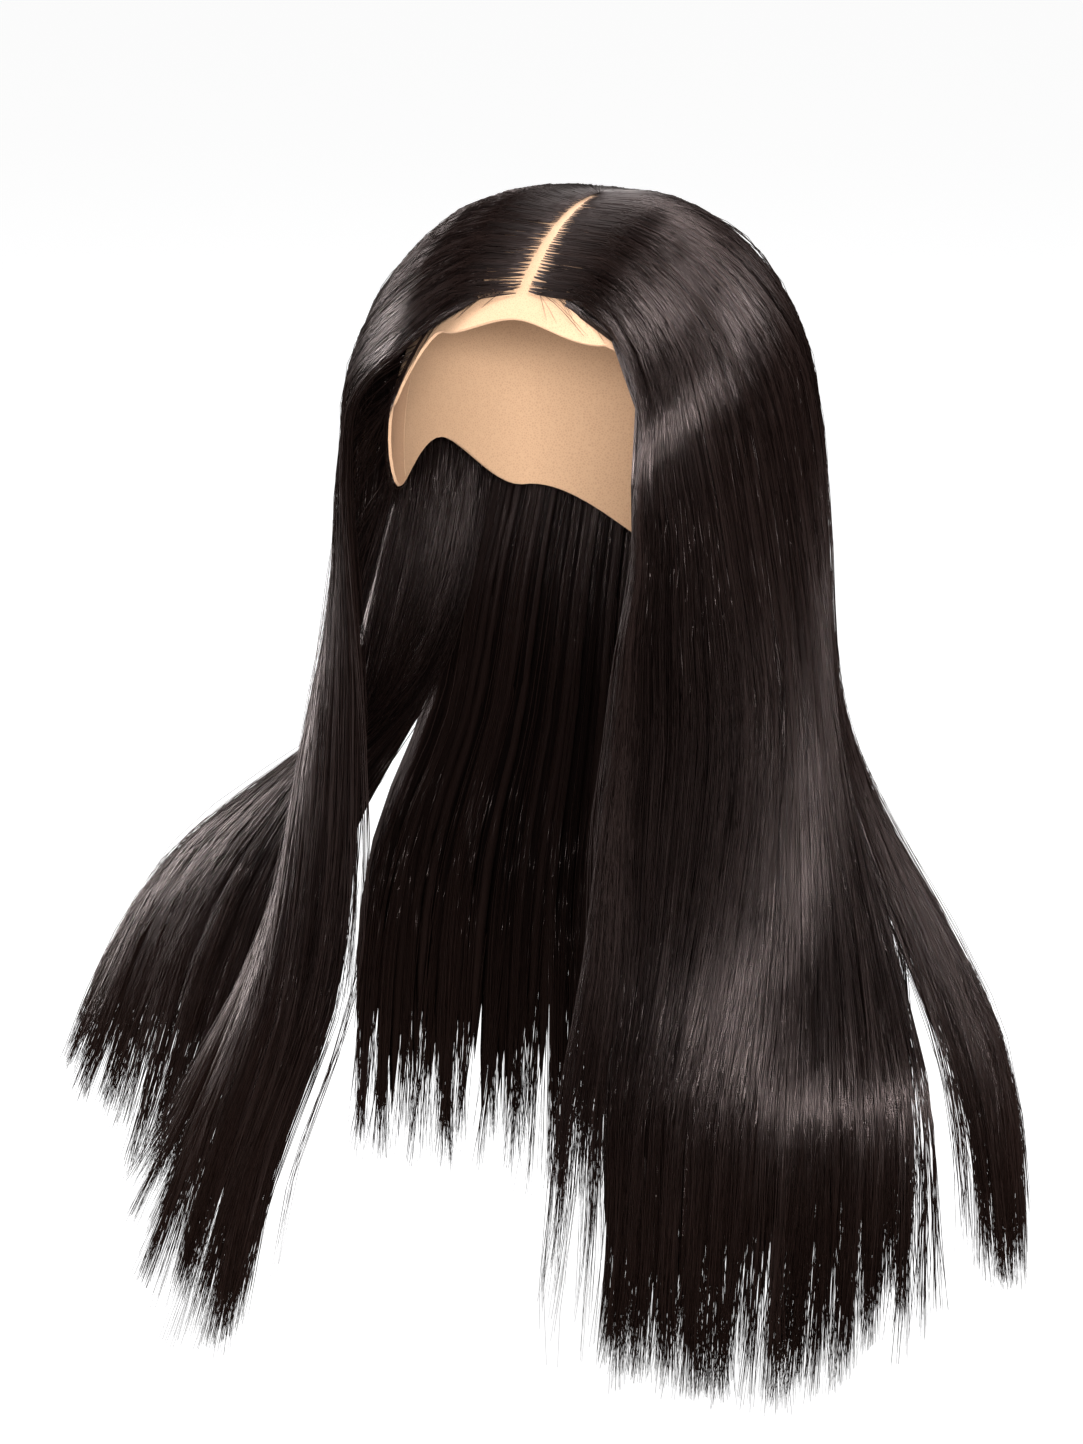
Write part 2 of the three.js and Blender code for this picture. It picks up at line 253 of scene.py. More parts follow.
# Wisps in thin bunches, which leave the face edge at different places.
WISP_BUNCH = 12
WISP_REACH = 0.27
WISP_REACH_POWER = 1.3
WISP_SPREAD = 0.007
WISP_START = (0.04, 0.2)
WISP_END = (0.72, 1.0)
WISP_SHORT = 0.1
WISP_LEAVE = (0.12, 0.45)
WISP_CURVE = 1.4
WISP_DEPTH = 0.004
WISP_BUNCH_WANDER = 0.0035
WISP_WANDER = 0.0009
WISP_RADII = (0.7, 1.1)
WISP_SHADES = (0.3, 1)

# Short hairs along the front hairline. Bearings, sweep, drop and depth are in degrees.
BABY_HAIRS = 170
BABY_RINGS = 8
BABY_BEARINGS = (1, 60)
BABY_SWEEP = (10, 26)
BABY_DROP = (-1.0, 8.0)
BABY_DEPTH = 2.5
BABY_LIFT = (0.0003, 0.0016)
BABY_ARCH = 0.7
BABY_RADII = (0.7, 1.2)
BABY_SHADES = (0.5, 1)
BABY_ALONG = 0.5
BABY_ALONG_RANGE = 0.4

# Flat locks under the strands. Each layer has a depth, and a shift across it as a share of a lock's width.
# The locks end short of the panel by shares of its tip: LOCK_CUT for all, LOCK_WAVE in slow waves across
# the panel, and LOCK_UNEVEN lock by lock.
LOCK_SIDES = 4
LOCK_RINGS = 16
LOCK_START = 0.035
LOCK_HALF_WIDTH = 0.85
LOCK_LAYERS = ((0.0, 0.5), (0.0009, 0.0))
LOCK_JITTER = 0.35
LOCK_CUT = 0.35
LOCK_WAVE = 0.5
LOCK_WAVE_PLACES = 12
LOCK_UNEVEN = 0.6
LOCK_POINT_FROM = 0.6
LOCK_BLUNT = 0.0004
LOCK_SHADE = 0.6

# The first number for the random draws of the panels, and the one for the short hairs.
PANEL_SEED = 100
BABY_SEED = 99

# Hair: dark and light tones, browner ends, and a shine that is duller at the roots. Between the two shares
# of the length in ROOT_DULL the roots' roughness gives way to the strand's own. LOCK_LINES is the scale of
# the fine lines on a lock, across and along it.
HAIR_DARK = (0.0016, 0.0009, 0.0008)
HAIR_LIGHT = (0.0100, 0.0050, 0.0040)
HAIR_ENDS = (0.022, 0.011, 0.008)
HAIR_ENDS_FROM = 0.7
HAIR_ENDS_SHARE = 0.35
HAIR_SPECULAR = 0.5
HAIR_TINT = (1, 0.80, 0.77)
HAIR_ROUGHNESS = (0.18, 0.36)
ROOT_ROUGHNESS = 0.52
ROOT_DULL = (0.02, 0.085)
LOCK_LINES = (60, 5, 1)
LOCK_LINE_STRENGTH = 0.8
LOCK_LINE_DEPTH = 0.0006

# Lace and net: colours of thread and hole, size of the mesh, and roughness.
LACE = dict(thread=(0.58, 0.36, 0.22), hole=(0.50, 0.30, 0.18), mesh_size=0.0009, roughness=0.8)
NET = dict(thread=(0.56, 0.36, 0.22), hole=(0.48, 0.30, 0.18), mesh_size=0.0011, roughness=0.85)
THREAD_EDGE = 0.06
HOLE_EDGE = 0.3
MESH_STRENGTH = 0.4
MESH_DEPTH = 0.0003

# Camera, fitted to the photograph's 1083 x 1444 frame.
CAMERA_AZIMUTH = 25
CAMERA_ELEVATION = 15
CAMERA_DISTANCE = 2.080
CAMERA_TARGET = np.array([-0.0187, -0.0083, -0.214])
CAMERA_LENS = 127.15
CAMERA_SENSOR = 36

# Light. Azimuth and elevation are seen from the wig: azimuth 0 is straight in front, 90 to its left.
LIGHTS = [
    dict(name="key", azimuth=27, elevation=18, distance=2.4, size=(0.9, 0.3), power=84),
    dict(name="side", azimuth=-74, elevation=10, distance=1.9, size=(0.5, 0.9), power=52),
    dict(name="crown", azimuth=65, elevation=60, distance=1.9, size=(0.7, 0.6), power=32),
    dict(name="left", azimuth=112, elevation=35, distance=1.9, size=(0.5, 0.5), power=11),
    dict(name="top", azimuth=170, elevation=70, distance=2.0, size=(1.2, 0.6), power=4),
    dict(name="rear", azimuth=195, elevation=50, distance=2.0, size=(0.9, 0.5), power=40),
]
LIGHT_TARGET = np.array([0.0, 0.0, -0.25])
WORLD_STRENGTH = 0.03
FLOOR_LEVEL = -0.500
FLOOR_REACH = 30.0
FLOOR_COLOUR = (0.14, 0.14, 0.145)
FLOOR_GLOW = 0.95
FLOOR_ROUGHNESS = 0.7

# How often light is followed from surface to surface.
BOUNCES = 4
GLOSSY_BOUNCES = 3
DIFFUSE_BOUNCES = 2


def eased_table(rows, at):
    """Values between the rows of a two-column table, eased so that they have no corners."""
    places, values = np.array(rows, float).T
    at = np.clip(at, places[0], places[-1])
    after = np.clip(np.searchsorted(places, at), 1, len(places) - 1)
    share = (at - places[after - 1]) / (places[after] - places[after - 1])
    return values[after - 1] + (values[after] - values[after - 1]) * smooth_step(share)


def smooth_step(value):
    """0 to 1, eased at both ends."""
    share = np.clip(value, 0, 1)
    return share * share * (3 - 2 * share)


def growth(along, start, length):
    """0 before a place along the hair, 1 past a stretch after it, and eased between."""
    return smooth_step((along - start) / length)


def unit(vectors):
    return vectors / np.maximum(np.linalg.norm(vectors, axis=-1, keepdims=True), SHORTEST_VECTOR)


def head_direction(bearing, down):
    b = np.radians(bearing)
    d = np.radians(down)
    return np.stack(np.broadcast_arrays(np.sin(d) * np.sin(b), -np.sin(d) * np.cos(b), np.cos(d)), axis=-1)


def off_head(direction, lift):
    return HEAD_CENTRE + (HEAD_RADII + np.asarray(lift)[..., None]) * direction


def cap_edge(bearing):
    """How far down the cap reaches at a bearing, in degrees."""
    turned = np.mod(bearing, 360)
    return eased_table(CAP_EDGE, np.where(turned > 180, 360 - turned, turned))


def hairline(bearing):
    """How far down the front hairline lies at a bearing, in degrees."""
    return cap_edge(bearing) - eased_table(HAIRLINE, np.abs(bearing))


# Panels of hair as surfaces
def guide_at(guides, across):
    """Guide values at places across a panel: a smooth curve through the rows, straight past the ends."""
    rows = np.array(guides)
    padded = np.vstack([2 * rows[0] - rows[1], rows, 2 * rows[-1] - rows[-2]])
    place = across * (len(rows) - 1)
    index = np.clip(np.floor(place).astype(int), 0, len(rows) - 2)
    before, start, end, after = (padded[index + k] for k in range(4))
    slope = (end - before) / 2
    next_slope = (after - start) / 2
    rise = end - start
    t = (place - index)[:, None]
    inside = np.clip(t, 0, 1)
    bend = (3 * rise - 2 * slope - next_slope) * inside**2 + (slope + next_slope - 2 * rise) * inside**3
    outside = t - inside
    return start + slope * inside + bend + np.where(outside < 0, slope, next_slope) * outside


def course_points(values):
    """The points that each guide's hair passes: over the head, past the ear, and down to the tip."""
    root, comb, ear, lift, chin_x, chin_y = values[:, :HANG_COLUMN].T
    comb_direction = head_direction(comb, 90.0)
    half_width = eased_table(PART_HALF_WIDTH, root)
    start = comb_direction * half_width[:, None] + np.outer(root, [0, 1, 0])
    start = (start - HEAD_CENTRE) / HEAD_RADII
    start[:, 2] = np.sqrt(1 - start[:, 0] ** 2 - start[:, 1] ** 2)
    ear_down = math.degrees(math.acos((EAR_LEVEL - HEAD_CENTRE[2]) / HEAD_RADII[2]))
    end = head_direction(ear, ear_down)
    turning = start + COMB_REACH * comb_direction
    points = []
    for step in range(HEAD_STEPS + 1):
        s = step / HEAD_STEPS
        direction = unit((1 - s) ** 2 * start + 2 * s * (1 - s) * turning + s * s * end)
        rise = (lift - ROOT_LIFT) * math.sin(s * math.pi / 2)
        points.append(off_head(direction, CAP_WALL + ROOT_LIFT + rise))
    points.append(np.stack([chin_x, chin_y, np.full(len(values), CHIN_LEVEL)], axis=-1))
    for first in range(HANG_COLUMN, values.shape[1], 3):
        points.append(values[:, first:first + 3])
    return np.stack(points, axis=1)


def smooth_curves(points):
    """Centripetal Catmull-Rom curves through the points and a little past them, sampled evenly."""
    ends = [2 * points[:, :1] - points[:, 1:2], points, 2 * points[:, -1:] - points[:, -2:-1]]
    padded = np.concatenate(ends, axis=1)
    t = np.linspace(0, 1, CURVE_STEPS, endpoint=False)[None, :, None]
    pieces = []
    for k in range(points.shape[1] - 1):
        p0, p1, p2, p3 = (padded[:, k + j] for j in range(4))
        spans = ((p0, p1), (p1, p2), (p2, p3))
        d0, d1, d2 = (np.sqrt(np.linalg.norm(b - a, axis=-1))[:, None] for a, b in spans)
        slope = ((p1 - p0) / d0 - (p2 - p0) / (d0 + d1) + (p2 - p1) / d1) * d1
        next_slope = ((p2 - p1) / d1 - (p3 - p1) / (d1 + d2) + (p3 - p2) / d2) * d1
        square = 3 * (p2 - p1) - 2 * slope - next_slope
        cube = 2 * (p1 - p2) + slope + next_slope
        p1, slope, square, cube = (a[:, None, :] for a in (p1, slope, square, cube))
        pieces.append(p1 + slope * t + square * t**2 + cube * t**3)
    pieces.append(points[:, -1:])
    line = np.concatenate(pieces, axis=1)
    steps = np.linalg.norm(np.diff(line, axis=1), axis=-1)
    lengths = steps.sum(axis=1)
    beyond = lengths * TIP_MARGIN
    onward = unit(line[:, -1:] - line[:, -2:-1])
    line = np.concatenate([line, line[:, -1:] + onward * beyond[:, None, None]], axis=1)
    steps = np.concatenate([np.zeros((len(line), 1)), steps, beyond[:, None]], axis=1)
    travelled = np.cumsum(steps, axis=1)
    even = np.empty((len(line), GRID_ALONG, 3))
    for row in range(len(line)):
        wanted = np.linspace(0, travelled[row, -1], GRID_ALONG)
        for axis in range(3):
            even[row, :, axis] = np.interp(wanted, travelled[row], line[row, :, axis])
    return even, lengths


def panel_surface(guides):
    """A panel's outer surface: places, directions outward and sideways, width, height off the cap, and the
    hair's mean length."""
    across = np.linspace(-GRID_MARGIN, 1 + GRID_MARGIN, GRID_ACROSS)
    place, lengths = smooth_curves(course_points(guide_at(guides, across)))
    along_step = np.gradient(place, axis=1)
    across_step = np.gradient(place, across, axis=0)
    outward = unit(np.cross(along_step, across_step))
    width = np.linalg.norm(across_step, axis=-1, keepdims=True)
    centred = (place - HEAD_CENTRE) / HEAD_RADII
    height = (np.linalg.norm(centred, axis=-1, keepdims=True) - 1) * HEAD_RADII[0] - CAP_WALL
    return dict(place=place, outward=outward, sideways=across_step / width, width=width, height=height,
                length=float(lengths.mean()))


def on_surface(surface, what, across, along):
    """A quantity of the surface at places across and along it, between the grid's points."""
    grid = surface[what]
    x = np.clip((across + GRID_MARGIN) / (1 + 2 * GRID_MARGIN), 0, 1) * (GRID_ACROSS - 1)
    y = np.clip(along / (1 + TIP_MARGIN), 0, 1) * (GRID_ALONG - 1)
    i = np.minimum(x.astype(int), GRID_ACROSS - 2)
    j = np.minimum(y.astype(int), GRID_ALONG - 2)
    s = (x - i)[..., None]
    t = (y - j)[..., None]
    low = grid[i, j] * (1 - s) + grid[i + 1, j] * s
    high = grid[i, j + 1] * (1 - s) + grid[i + 1, j + 1] * s
    return low * (1 - t) + high * t


# Meshes
def link_piece(name, mesh, material):
    mesh.materials.clear()
    mesh.materials.append(material)
    piece = bpy.data.objects.new(name, mesh)
    bpy.context.scene.collection.objects.link(piece)
    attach(piece, BODY)
    return piece


def tube_piece(name, batches, sides, material):
    """One piece of many closed tubes. Each batch is a dict with, for each tube, its path and the outward
    direction at each ring, half its width and depth there, the ring's share of the length, and a shade."""
    verts, quads, caps, lines, shades, alongs = [], [], [], [], [], []
    offset = 0
    tube_number = 0
    angles = np.pi / 2 + 2 * np.pi * np.arange(sides) / sides
    for batch in batches:
        path = batch["path"]
        count, rings = path.shape[:2]
        tangent = unit(np.gradient(path, axis=1))
        side = unit(np.cross(batch["outward"], tangent))
        up = np.cross(tangent, side)
        ring = (side[:, :, None] * (np.cos(angles)[:, None] * batch["half_width"][:, :, None, None])
                + up[:, :, None] * (np.sin(angles)[:, None] * batch["half_depth"][:, :, None, None]))
        verts.append((path[:, :, None] + ring).reshape(-1, 3))
        index = offset + np.arange(count * rings * sides).reshape(count, rings, sides)
        turned = np.roll(index, -1, axis=2)
        corners = [index[:, :-1], index[:, 1:], turned[:, 1:], turned[:, :-1]]
        quads.append(np.stack(corners, axis=-1).reshape(-1, 4))
        for k in range(1, sides - 1):
            caps.append(np.stack([index[:, 0, 0], index[:, 0, k], index[:, 0, k + 1]], axis=-1))
            caps.append(np.stack([index[:, -1, 0], index[:, -1, k + 1], index[:, -1, k]], axis=-1))
        number = tube_number + np.arange(count)[:, None, None]
        this_side = np.broadcast_to(number + np.arange(sides) / sides, (count, rings - 1, sides))
        next_side = this_side + 1 / sides
        upper = np.broadcast_to(batch["along"][:, :-1, None], this_side.shape)
        lower = np.broadcast_to(batch["along"][:, 1:, None], this_side.shape)
        places = [(this_side, upper), (this_side, lower), (next_side, lower), (next_side, upper)]
        lines.append(np.stack([np.stack(place, axis=-1) for place in places], axis=-2).reshape(-1, 2))
        shades.append(np.repeat(batch["shade"], rings * sides))
        alongs.append(np.repeat(batch["along"].ravel(), sides))
        offset += count * rings * sides
        tube_number += count
    quads = np.concatenate(quads)
    caps = np.concatenate(caps)
    mesh = bpy.data.meshes.new(name)
    mesh.vertices.add(offset)
    mesh.vertices.foreach_set("co", np.concatenate(verts).astype(np.float32).ravel())
    starts = np.concatenate([np.arange(len(quads)) * 4, len(quads) * 4 + np.arange(len(caps)) * 3])
    mesh.loops.add(quads.size + caps.size)
    mesh.polygons.add(len(starts))
    mesh.polygons.foreach_set("loop_start", starts.astype(np.int32))
    mesh.polygons.foreach_set("vertices", np.concatenate([quads.ravel(), caps.ravel()]).astype(np.int32))
    mesh.update(calc_edges=True)
    mesh.polygons.foreach_set("use_smooth", np.full(len(starts), True))
    for label, values in (("shade", shades), ("along", alongs)):
        attribute = mesh.attributes.new(label, "FLOAT", "POINT")
        attribute.data.foreach_set("value", np.concatenate(values).astype(np.float32))
    cap_lines = np.zeros((caps.size, 2))
    layer = mesh.uv_layers.new(name="strand_lines")
    layer.uv.foreach_set("vector", np.concatenate(lines + [cap_lines]).astype(np.float32).ravel())
    return link_piece(name, mesh, material)


# Hair
def wander(along, seeds, reach):
    """A slow drift along each strand that grows towards its tip. seeds has four random numbers a strand."""
    turn = 2 * np.pi * seeds[:, :2, None]
    beat = WANDER_BEAT + WANDER_BEAT_RANGE * seeds[:, 2:, None]
    first = np.sin(2 * np.pi * beat[:, 0] * along + turn[:, 0]) - np.sin(turn[:, 0])
    second = np.sin(4 * np.pi * beat[:, 1] * along + turn[:, 1]) - np.sin(turn[:, 1])
    return reach * (first + WANDER_SECOND * second) * along


def clump_set(panel, rng):
    """The bunches that a panel's strands gather into towards their tips, a few to a lock."""
    count = panel["clumps"]
    locks = round(count / LOCK_CLUMPS)
    centre = np.clip((np.arange(count) + rng.uniform(*CLUMP_JITTER, count)) / count, 0, 1)
    widths = rng.uniform(*LOCK_WIDTHS, locks)
    widths = widths / widths.sum()
    borders = np.cumsum(widths)
    lock = np.minimum(np.searchsorted(borders, centre), locks - 1)
    short = LOCK_SHORT * rng.random(locks)[lock] + CLUMP_SHORT * rng.random(count) ** 2
    share = rng.uniform(*CLUMP_FULLNESS, count) ** CLUMP_FULLNESS_POWER
    if panel["face"] == 0:
        share = share * (1 - THIN_STRANDS * growth(centre, THIN_EDGE, 1 - THIN_EDGE))
    return dict(
        centre=centre,
        share=share / share.sum(),
        lock_centre=(borders - widths / 2)[lock],
        end=1 + panel["past"] - panel["tip"] * short,
        sunk=np.abs(rng.normal(0, SUNK_DEPTH, count)),
        splay=rng.normal(0, CLUMP_SPLAY, (count, 2)),
        shade=rng.random(count),
        seeds=rng.random((count, 4)),
        ripple=rng.normal(0, RIPPLE_DEPTH, count),
        ripple_turn=rng.uniform(0, 2 * np.pi, count),
        ripple_beat=2 * np.pi * rng.uniform(*RIPPLE_BEATS, count),
    )


def spread_out(panel, across, along):
    """Places across a panel, drawn in from its face edge, and spread to meet its neighbours on the head."""
    spread = EDGE_SPREAD * (1 - growth(along, *EDGE_SPREAD_FALL))
    front = -spread
    rear = 1 + spread
    if panel["face"] == 0:
        front = eased_table(FACE_INSET[panel["name"]], along)
    if panel["face"] == 1:
        rear = 1 - eased_table(FACE_INSET[panel["name"]], along)
    return front + (rear - front) * across


def ring_places(start, end, shares, rng):
    """Places of the rings along each strand, shifted a little so that no two strands bend alike."""
    shares = np.array(shares)
    gaps = np.diff(shares)
    room = np.minimum(gaps[:-1], gaps[1:])
    shift = rng.uniform(-RING_JITTER, RING_JITTER, (len(start), len(room))) * room
    placed = np.repeat(shares[None, :], len(start), axis=0)
    placed[:, 1:-1] += shift
    return start[:, None] + (end - start)[:, None] * placed


def strand_batch(surface, place, along, depth, drift, radius, shade):
    """Strands at places across and along a panel, so deep under its surface and so far to the side."""
    outward = on_surface(surface, "outward", place, along)
    sideways = on_surface(surface, "sideways", place, along)
    path = on_surface(surface, "place", place, along)
    path = path - outward * depth[..., None] + sideways * drift[..., None]
    taper = eased_table(STRAND_TAPER, np.linspace(0, 1, along.shape[1]))
    half = radius[:, None] * taper[None, :]
    return dict(path=path, outward=outward, half_width=half, half_depth=half, shade=shade, along=along)


def gathered_strands(panel, surface, clumps, family, rng):
    """One family of a panel's strands: spread over the head, and gathered in clumps towards the tips."""
    count = panel[family]
    bunches = panel["clumps"]
    clump = rng.choice(bunches, count, p=clumps["share"])
    centre = clumps["centre"][clump]
    offset = rng.normal(0, CLUMP_SPREAD, count) / bunches
    across = np.clip(centre + offset, 0, 1)
    start = rng.uniform(*FAMILY_START[family], count)
    outer_share = np.clip(np.abs(offset) * bunches, 0, 1)
    short = OUTER_SHORT * outer_share * rng.random(count)
    short = short + STRAND_SHORT * rng.random(count) ** STRAND_SHORT_POWER
    end = clumps["end"][clump] - panel["tip"] * short
    along = ring_places(start, end, FAMILY_RINGS[family], rng)

    gather = CLUMP_GATHER * growth(along, *CLUMP_GROWTH)
    gather = gather + TIP_GATHER * smooth_step(1 + (along - clumps["end"][clump][:, None]) / TIP_LENGTH)
    place = across[:, None] + (centre - across)[:, None] * gather
    to_lock = (clumps["lock_centre"][clump] - centre)[:, None]
    place = place + to_lock * LOCK_GATHER * growth(along, *LOCK_GROWTH)
    if family == "strands":
        since_root = (along - start[:, None]) * surface["length"]
        tufts = (np.arange(panel["tufts"]) + rng.uniform(*TUFT_JITTER, panel["tufts"])) / panel["tufts"]
        tuft = tufts[np.abs(across[:, None] - tufts).argmin(axis=1)]
        place = place + (tuft - across)[:, None] * TUFT_GATHER * np.exp(-since_root / TUFT_SPREAD)
        place = spread_out(panel, place, along)
        depth = (rng.random(count) ** TOP_SHARE_POWER)[:, None] * eased_table(TOP_DEPTH, along)
        risen = smooth_step(since_root / ROOT_RISE)
        height = on_surface(surface, "height", place, along)[..., 0]
        depth = depth * risen + (1 - risen) * (height - ROOT_HEIGHT)
    else:
        place = spread_out(panel, place, along)
        depth = rng.uniform(*UNDER_SHARES, count)[:, None] * eased_table(UNDER_DEPTH, along)
    depth = depth + clumps["sunk"][clump][:, None] * growth(along, *SUNK_GROWTH)
    wave = np.sin(clumps["ripple_beat"][clump][:, None] * along + clumps["ripple_turn"][clump][:, None])
    depth = depth + clumps["ripple"][clump][:, None] * wave * growth(along, *RIPPLE_GROWTH)

    loose = np.clip((along - SPLAY_FROM) / (1 - SPLAY_FROM), 0, 1) ** 2
    frayed = np.clip((along - FRAY_FROM) / (1 - FRAY_FROM), 0, 1) ** 2
    splay = clumps["splay"][clump][:, None] * loose[..., None]
    splay = splay + rng.normal(0, STRAND_SPLAY, (count, 1, 2)) * loose[..., None]
    splay = splay + rng.normal(0, FRAY_SPLAY, (count, 1, 2)) * frayed[..., None]
    drift = wander(along, clumps["seeds"][clump], CLUMP_WANDER)
    drift = drift + wander(along, rng.random((count, 4)), STRAND_WANDER)
    drift = drift + splay[..., 0]
    depth = depth - SPLAY_DEPTH * splay[..., 1]

    radius = STRAND_RADIUS * rng.uniform(*STRAND_RADII, count)
    shade = CLUMP_SHADE * clumps["shade"][clump] + (1 - CLUMP_SHADE) * rng.random(count)
    return strand_batch(surface, place, along, depth, drift, radius, shade)


def hairline_strands(panel, surface, rng):
    """Strands that start along the front hairline and join the panel beside the face."""
    count = HAIRLINE_STRANDS
    side = 1 if panel["face"] == 0 else -1
    bearing = side * rng.uniform(*HAIRLINE_BEARINGS, count)
    down = hairline(bearing) - rng.uniform(0, HAIRLINE_DEPTH, count)
    root = off_head(head_direction(bearing, down), np.full(count, CAP_WALL + ROOT_HEIGHT))
    across = panel["face"] + side * rng.uniform(0, HAIRLINE_WIDTH, count)
    search_across = np.repeat(across[:, None], len(HAIRLINE_SEARCH), axis=1)
    candidates = on_surface(surface, "place", search_across, np.tile(HAIRLINE_SEARCH, (count, 1)))
    start = HAIRLINE_SEARCH[np.argmin(np.linalg.norm(candidates - root[:, None], axis=-1), axis=1)]
    along = ring_places(start, rng.uniform(*HAIRLINE_END, count), HAIRLINE_RINGS, rng)
    place = spread_out(panel, across[:, None], along)
    depth = rng.random(count)[:, None] * eased_table(UNDER_DEPTH, along)
    drift = wander(along, rng.random((count, 4)), HAIRLINE_WANDER)
    radius = STRAND_RADIUS * rng.uniform(*HAIRLINE_RADII, count)
    batch = strand_batch(surface, place, along, depth, drift, radius, rng.random(count))
    join = rng.uniform(*HAIRLINE_JOIN, count)[:, None]
    apart = 1 - smooth_step((along - start[:, None]) * surface["length"] / join)
    batch["path"] = batch["path"] + (root - batch["path"][:, 0])[:, None] * apart[..., None]
    return batch


def loose_strands(panel, surface, rng):
    """Fine single hairs that stand a little off a panel."""
    count = LOOSE_HAIRS
    across = rng.uniform(*LOOSE_ACROSS, count)
    start = rng.uniform(*LOOSE_START, count)
    end = rng.uniform(*LOOSE_END, count)
    along = ring_places(start, end, UNDER_RINGS, rng)
    bow = np.sin(np.pi * np.linspace(0, 1, along.shape[1]))[None, :] ** LOOSE_BOW_POWER
    depth = -rng.uniform(0, LOOSE_STAND_OFF, count)[:, None] * bow + LOOSE_ROOT_DEPTH * (1 - bow)
    drift = wander(along, rng.random((count, 4)), LOOSE_WANDER)
    radius = FINE_RADIUS * rng.uniform(*LOOSE_RADII, count)
    place = spread_out(panel, across[:, None], along)
    return strand_batch(surface, place, along, depth, drift, radius, rng.uniform(*LOOSE_SHADES, count))


def face_wisps(panel, surface, rng):
    """Thin bunches beside the face, loose of the panel's edge."""
    count = panel["wisps"]
    side = 1 if panel["face"] == 0 else -1
    bunches = count // WISP_BUNCH
    reach = WISP_REACH * rng.random(bunches) ** WISP_REACH_POWER
    bunch = rng.integers(0, bunches, count)
    outwards = reach[bunch] + rng.normal(0, WISP_SPREAD, count)
    start = rng.uniform(*WISP_START, count)
    end = rng.uniform(*WISP_END, bunches)[bunch] - WISP_SHORT * rng.random(count)
    along = ring_places(start, end, TOP_RINGS, rng)
    edge = spread_out(panel, panel["face"], along)
    leave = rng.uniform(*WISP_LEAVE, bunches)[bunch][:, None]
    loose = np.clip((along - leave) / (1 - leave), 0, 1) ** WISP_CURVE
    place = edge - side * outwards[:, None] * loose
    depth = rng.uniform(0, WISP_DEPTH, count)[:, None] * np.ones_like(along)
    drift = wander(along, rng.random((bunches, 4))[bunch], WISP_BUNCH_WANDER)
    drift = drift + wander(along, rng.random((count, 4)), WISP_WANDER)
    radius = STRAND_RADIUS * rng.uniform(*WISP_RADII, count)
    return strand_batch(surface, place, along, depth, drift, radius, rng.uniform(*WISP_SHADES, count))


def baby_hair(rng):
    """Short fine hairs that lie along the front hairline."""
    count = BABY_HAIRS
    s = np.linspace(0, 1, BABY_RINGS)[None, :]
    side = rng.choice([-1, 1], count)
    bearing = rng.uniform(*BABY_BEARINGS, count)
    sweep = rng.uniform(*BABY_SWEEP, count)
    drop = rng.uniform(*BABY_DROP, count)
    along_bearing = bearing[:, None] + sweep[:, None] * s
    down = hairline(along_bearing) - rng.uniform(0, BABY_DEPTH, count)[:, None] + drop[:, None] * s**2
    lift = CAP_WALL + ROOT_HEIGHT + rng.uniform(*BABY_LIFT, count)[:, None] * np.sin(np.pi * s * BABY_ARCH)
    direction = head_direction(side[:, None] * along_bearing, down)
    half = FINE_RADIUS * rng.uniform(*BABY_RADII, count)[:, None] * eased_table(STRAND_TAPER, s[0])[None, :]
    shade = rng.uniform(*BABY_SHADES, count)
    along = np.repeat(BABY_ALONG + BABY_ALONG_RANGE * s, count, axis=0)
    return dict(path=off_head(direction, lift), outward=direction, half_width=half, half_depth=half,
                shade=shade, along=along)


def flat_locks(panel, surface, rng):
    """Flat locks in two layers, which close the panel under its strands and end in points."""
    count = panel["locks"]
    share = np.linspace(0, 1, LOCK_RINGS)[None, :]
    batches = []
    for layer, shift in LOCK_LAYERS:
        across = (np.arange(count) + shift + rng.uniform(-LOCK_JITTER, LOCK_JITTER, count)) / count
        wave = np.interp(across, np.linspace(0, 1, LOCK_WAVE_PLACES), rng.random(LOCK_WAVE_PLACES))
        end = 1 - panel["tip"] * (LOCK_CUT + LOCK_WAVE * wave + rng.uniform(0, LOCK_UNEVEN, count))
        if panel["face"] == 0:
            end = end - THIN_LOCKS * growth(across, THIN_EDGE, 1 - THIN_EDGE)
        along = LOCK_START + (end - LOCK_START)[:, None] * share
        place = spread_out(panel, np.clip(across, 0, 1)[:, None], along)
        outward = on_surface(surface, "outward", place, along)
        depth = eased_table(LOCK_DEPTH, along) + layer
        path = on_surface(surface, "place", place, along) - outward * depth[..., None]
        width = on_surface(surface, "width", place, along)[..., 0] / count * LOCK_HALF_WIDTH
        narrowed = np.clip((share - LOCK_POINT_FROM) / (1 - LOCK_POINT_FROM), 0, 1)
        point = np.sqrt(np.clip(1 - narrowed**2, LOCK_BLUNT, 1))
        half_depth = eased_table(LOCK_HALF_DEPTH, along) * np.sqrt(point)
        batches.append(dict(path=path, outward=outward, half_width=width * point, half_depth=half_depth,
                            shade=rng.random(count) * LOCK_SHADE, along=along))
    return batches


# Materials
def node_material(name, roughness):
    material = bpy.data.materials.new(name)
    material.use_nodes = True
    shader = material.node_tree.nodes["Principled BSDF"]
    shader.inputs["Roughness"].default_value = roughness
    return material, material.node_tree.nodes, material.node_tree.links, shader


